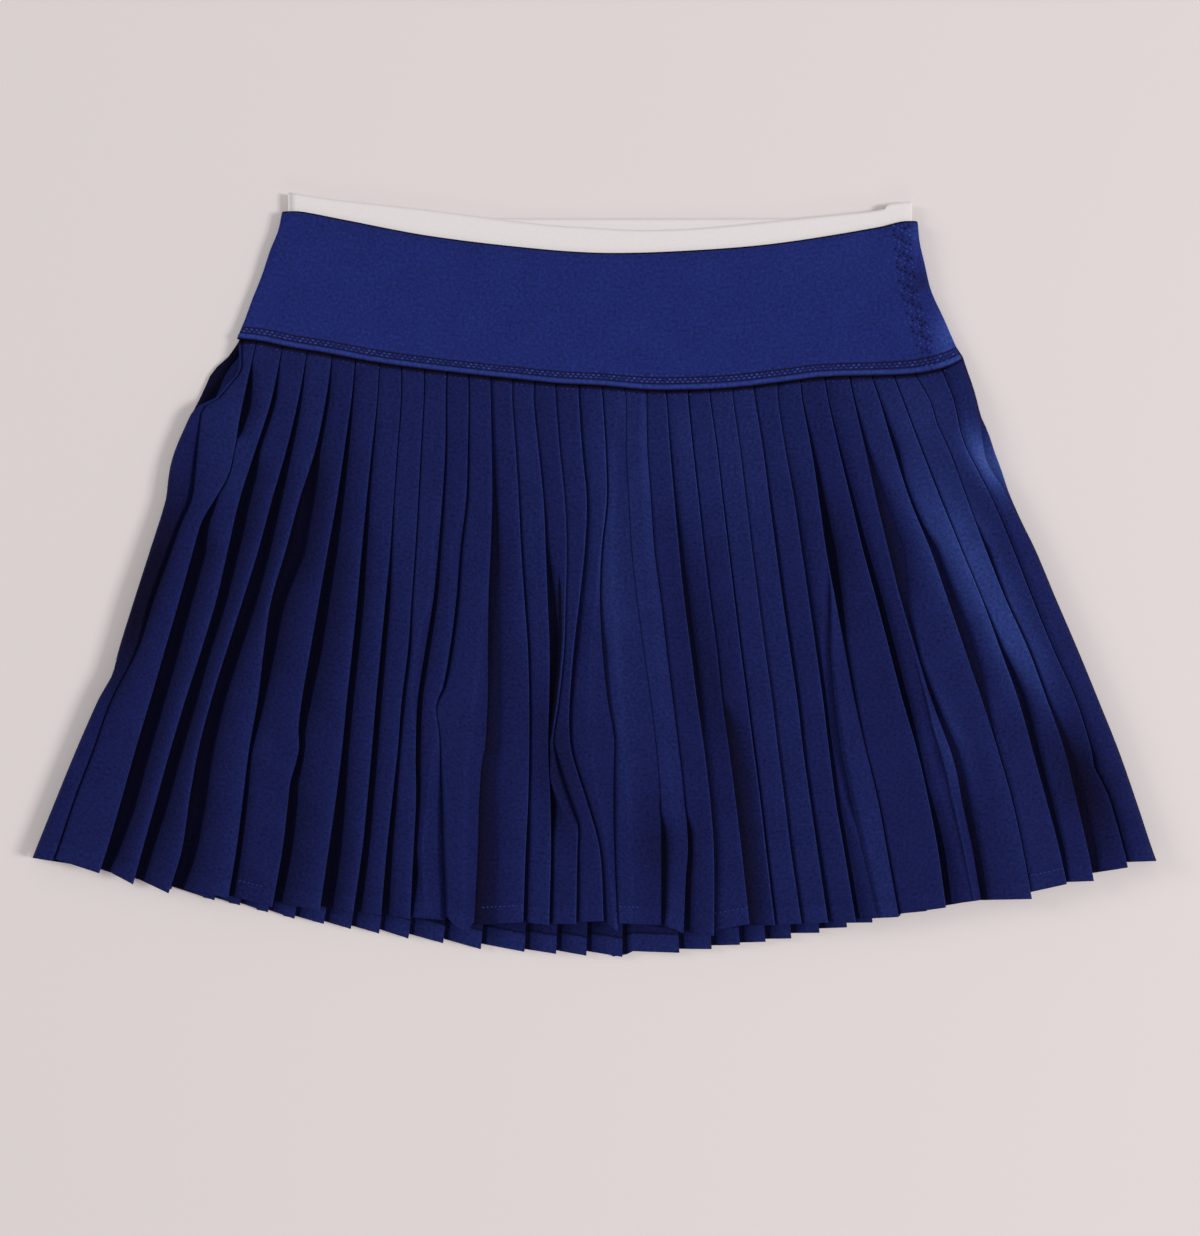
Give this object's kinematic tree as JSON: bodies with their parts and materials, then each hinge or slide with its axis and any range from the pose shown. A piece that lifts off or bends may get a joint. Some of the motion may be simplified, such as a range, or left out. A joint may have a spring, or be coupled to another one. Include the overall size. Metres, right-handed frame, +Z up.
{
  "type": "tennis skirt",
  "caption": "Knife-pleated tennis skirt lying flat: wide smooth knit yoke, white inner waistband standing proud of it, pleated front and back panels, back hem showing below the front hem",
  "frame": {"origin": "middle of the skirt's box, on the surface that it lies on", "axes": "+X to the viewer's right along the waist, +Y from hem to waist, +Z up from the surface, front panel on top"},
  "size_m": [0.583, 0.3954, 0.0117],
  "materials": {
    "yoke_knit": "matt smooth knit, royal to navy blue",
    "pleat_cloth": "matt plain woven cloth, navy blue",
    "white_elastic": "matt white elastic"
  },
  "bodies": {
    "root": {"yoke_front": "yoke_knit", "yoke_back": "yoke_knit", "inner_band": "white_elastic", "skirt_front": "pleat_cloth", "skirt_back": "pleat_cloth"}
  },
  "joints": []
}
